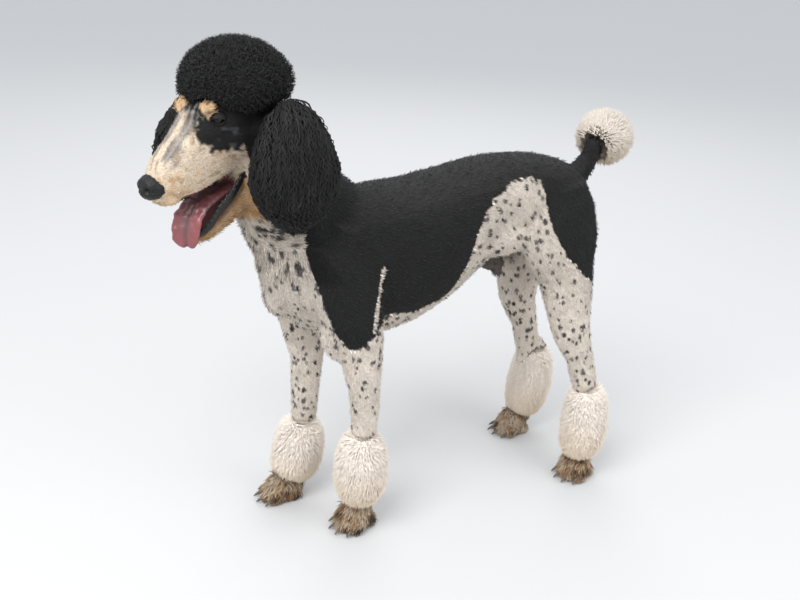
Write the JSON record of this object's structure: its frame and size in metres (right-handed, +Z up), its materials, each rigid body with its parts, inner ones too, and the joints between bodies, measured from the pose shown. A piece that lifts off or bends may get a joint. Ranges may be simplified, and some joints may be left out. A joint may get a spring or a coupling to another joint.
{
  "type": "standard poodle figure",
  "caption": "Life-size still model of a parti-coloured standard poodle standing alert, mouth open, in a short clip with topknot, leg bracelets and tail pom.",
  "frame": {"origin": "on the floor, under the middle of the whole dog's box", "axes": "+Z up, the dog faces -Y along its length, its left side is +X"},
  "size_m": [0.3058, 0.9627, 0.876],
  "materials": {
    "black_coat": "dense black curly coat, matt with a faint sheen",
    "white_coat": "off-white clipped coat with black ticking, plush on bracelets and pom",
    "face_coat": "short clipped face hair, white, cream, tan and grey",
    "stained_coat": "longer paw hair, cream stained brown",
    "lip_skin": "black lip and chin skin, slightly moist",
    "nose_skin": "black pebbled nose leather, moist",
    "tongue_skin": "pink wet tongue",
    "eye_ball": "dark brown eye, wet and glossy",
    "claw_horn": "dark horn, satin"
  },
  "bodies": {
    "root": {"head": "face_coat", "jaw_lower": "lip_skin", "neck": "white_coat", "trunk": "black_coat", "tail": "black_coat", "tail_pom": "white_coat", "topknot": "black_coat", "ear_left": "black_coat", "ear_right": "black_coat", "nose": "nose_skin", "tongue": "tongue_skin", "eye_left": "eye_ball", "eye_right": "eye_ball", "foreleg_left": "white_coat", "bracelet_fore_left": "white_coat", "paw_fore_left": "stained_coat", "claw_fore_left_1": "claw_horn", "claw_fore_left_2": "claw_horn", "claw_fore_left_3": "claw_horn", "claw_fore_left_4": "claw_horn", "foreleg_right": "white_coat", "bracelet_fore_right": "white_coat", "paw_fore_right": "stained_coat", "claw_fore_right_1": "claw_horn", "claw_fore_right_2": "claw_horn", "claw_fore_right_3": "claw_horn", "claw_fore_right_4": "claw_horn", "hindleg_left": "white_coat", "bracelet_hind_left": "white_coat", "paw_hind_left": "stained_coat", "claw_hind_left_1": "claw_horn", "claw_hind_left_2": "claw_horn", "claw_hind_left_3": "claw_horn", "claw_hind_left_4": "claw_horn", "hindleg_right": "white_coat", "bracelet_hind_right": "white_coat", "paw_hind_right": "stained_coat", "claw_hind_right_1": "claw_horn", "claw_hind_right_2": "claw_horn", "claw_hind_right_3": "claw_horn", "claw_hind_right_4": "claw_horn"}
  },
  "joints": []
}
